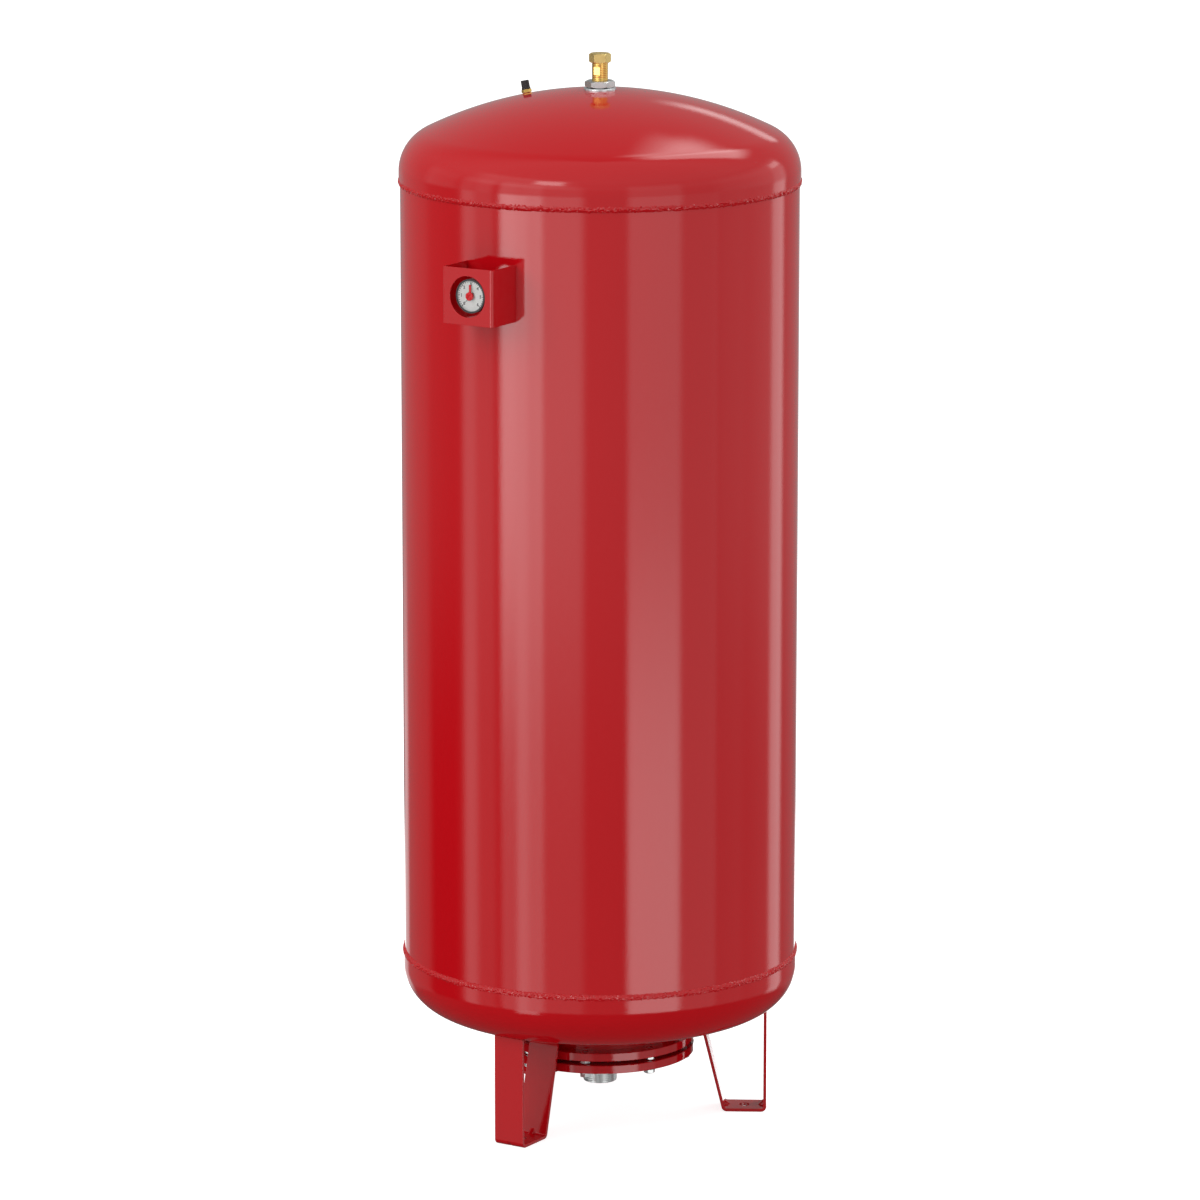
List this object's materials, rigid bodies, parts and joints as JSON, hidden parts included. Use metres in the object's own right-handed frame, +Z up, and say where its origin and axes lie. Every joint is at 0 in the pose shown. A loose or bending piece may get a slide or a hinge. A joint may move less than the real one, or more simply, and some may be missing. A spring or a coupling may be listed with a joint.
{
  "type": "expansion tank",
  "caption": "Floor-standing bladder expansion vessel with folded feet, bottom water flange, guarded pressure gauge, gas valve and top vent plug.",
  "frame": {"origin": "centre of the anchor hole circle at floor level, on the vessel's axis", "axes": "+Z up along the vessel's axis, -Y towards the pressure gauge and the front foot, +X to the right seen from the front"},
  "size_m": [0.7592, 0.8306, 2.0433],
  "materials": {
    "shell_barrel": "gloss red coating",
    "top_head": "gloss red coating",
    "bottom_head": "gloss red coating",
    "upper_girth_weld": "gloss red coating",
    "lower_girth_weld": "gloss red coating",
    "barrel_seam_weld": "gloss red coating",
    "neck_ring": "gloss red coating",
    "flange_ring": "gloss red coating",
    "flange_cover": "gloss red coating",
    "flange_bolts": "zinc plated",
    "flange_washers": "zinc plated",
    "flange_nuts": "zinc plated",
    "water_nozzle": "zinc plated",
    "foot_front": "gloss red coating",
    "foot_right": "gloss red coating",
    "foot_left": "gloss red coating",
    "bladder": "butyl, matt black",
    "bladder_clamp_washer": "zinc plated",
    "vent_washer": "zinc plated",
    "vent_nut": "zinc plated",
    "vent_stem": "machined",
    "vent_cap": "machined",
    "vent_gasket": "butyl, matt black",
    "gas_valve_boss": "gloss red coating",
    "gas_valve_body": "machined",
    "gas_valve_pin": "machined",
    "gas_valve_spring": "plain",
    "gas_valve_cap": "satin black",
    "gauge_guard": "gloss red coating",
    "gauge_socket": "gloss red coating",
    "gauge_stem": "machined",
    "gauge_bourdon_tube": "machined",
    "gauge_movement": "machined",
    "gauge_case": "dark grey satin",
    "gauge_glass": "clear",
    "gauge_dial": "matt white",
    "gauge_pointer": "matt black",
    "gauge_set_marker": "red"
  },
  "bodies": {
    "tank": {"shell_barrel": "shell_barrel", "top_head": "top_head", "bottom_head": "bottom_head", "upper_girth_weld": "upper_girth_weld", "lower_girth_weld": "lower_girth_weld", "barrel_seam_weld": "barrel_seam_weld", "neck_ring": "neck_ring", "flange_ring": "flange_ring", "flange_cover": "flange_cover", "flange_bolts": "flange_bolts", "flange_washers": "flange_washers", "flange_nuts": "flange_nuts", "water_nozzle": "water_nozzle", "foot_front": "foot_front", "foot_right": "foot_right", "foot_left": "foot_left", "bladder": "bladder", "bladder_clamp_washer": "bladder_clamp_washer", "vent_washer": "vent_washer", "vent_nut": "vent_nut", "vent_stem": "vent_stem", "vent_cap": "vent_cap", "vent_gasket": "vent_gasket", "gas_valve_boss": "gas_valve_boss", "gas_valve_body": "gas_valve_body", "gas_valve_spring": "gas_valve_spring", "gas_valve_cap": "gas_valve_cap", "gauge_guard": "gauge_guard", "gauge_socket": "gauge_socket", "gauge_stem": "gauge_stem", "gauge_bourdon_tube": "gauge_bourdon_tube", "gauge_movement": "gauge_movement", "gauge_case": "gauge_case", "gauge_glass": "gauge_glass", "gauge_dial": "gauge_dial"},
    "pointer": {"gauge_pointer": "gauge_pointer"},
    "set_marker": {"gauge_set_marker": "gauge_set_marker"},
    "valve_core": {"gas_valve_pin": "gas_valve_pin"}
  },
  "joints": [
    {"name": "pointer_turn", "type": "hinge", "parent": "tank", "child": "pointer", "pos_m": [0, -0.4387, 1.644], "axis": [0, 1, 0], "range_deg": [0, 270], "stiffness_Nm_per_rad": 0.0005, "springref_deg": -28.65},
    {"name": "set_marker_turn", "type": "hinge", "parent": "tank", "child": "set_marker", "pos_m": [0, -0.4425, 1.644], "axis": [0, 1, 0], "range_deg": [-135, 135]},
    {"name": "valve_core_press", "type": "slide", "parent": "tank", "child": "valve_core", "axis": [0.2165, 0, -0.9763], "range_m": [0, 0.0012], "stiffness_N_per_m": 400, "springref_m": -0.003, "deforming": ["gas_valve_spring"]}
  ]
}
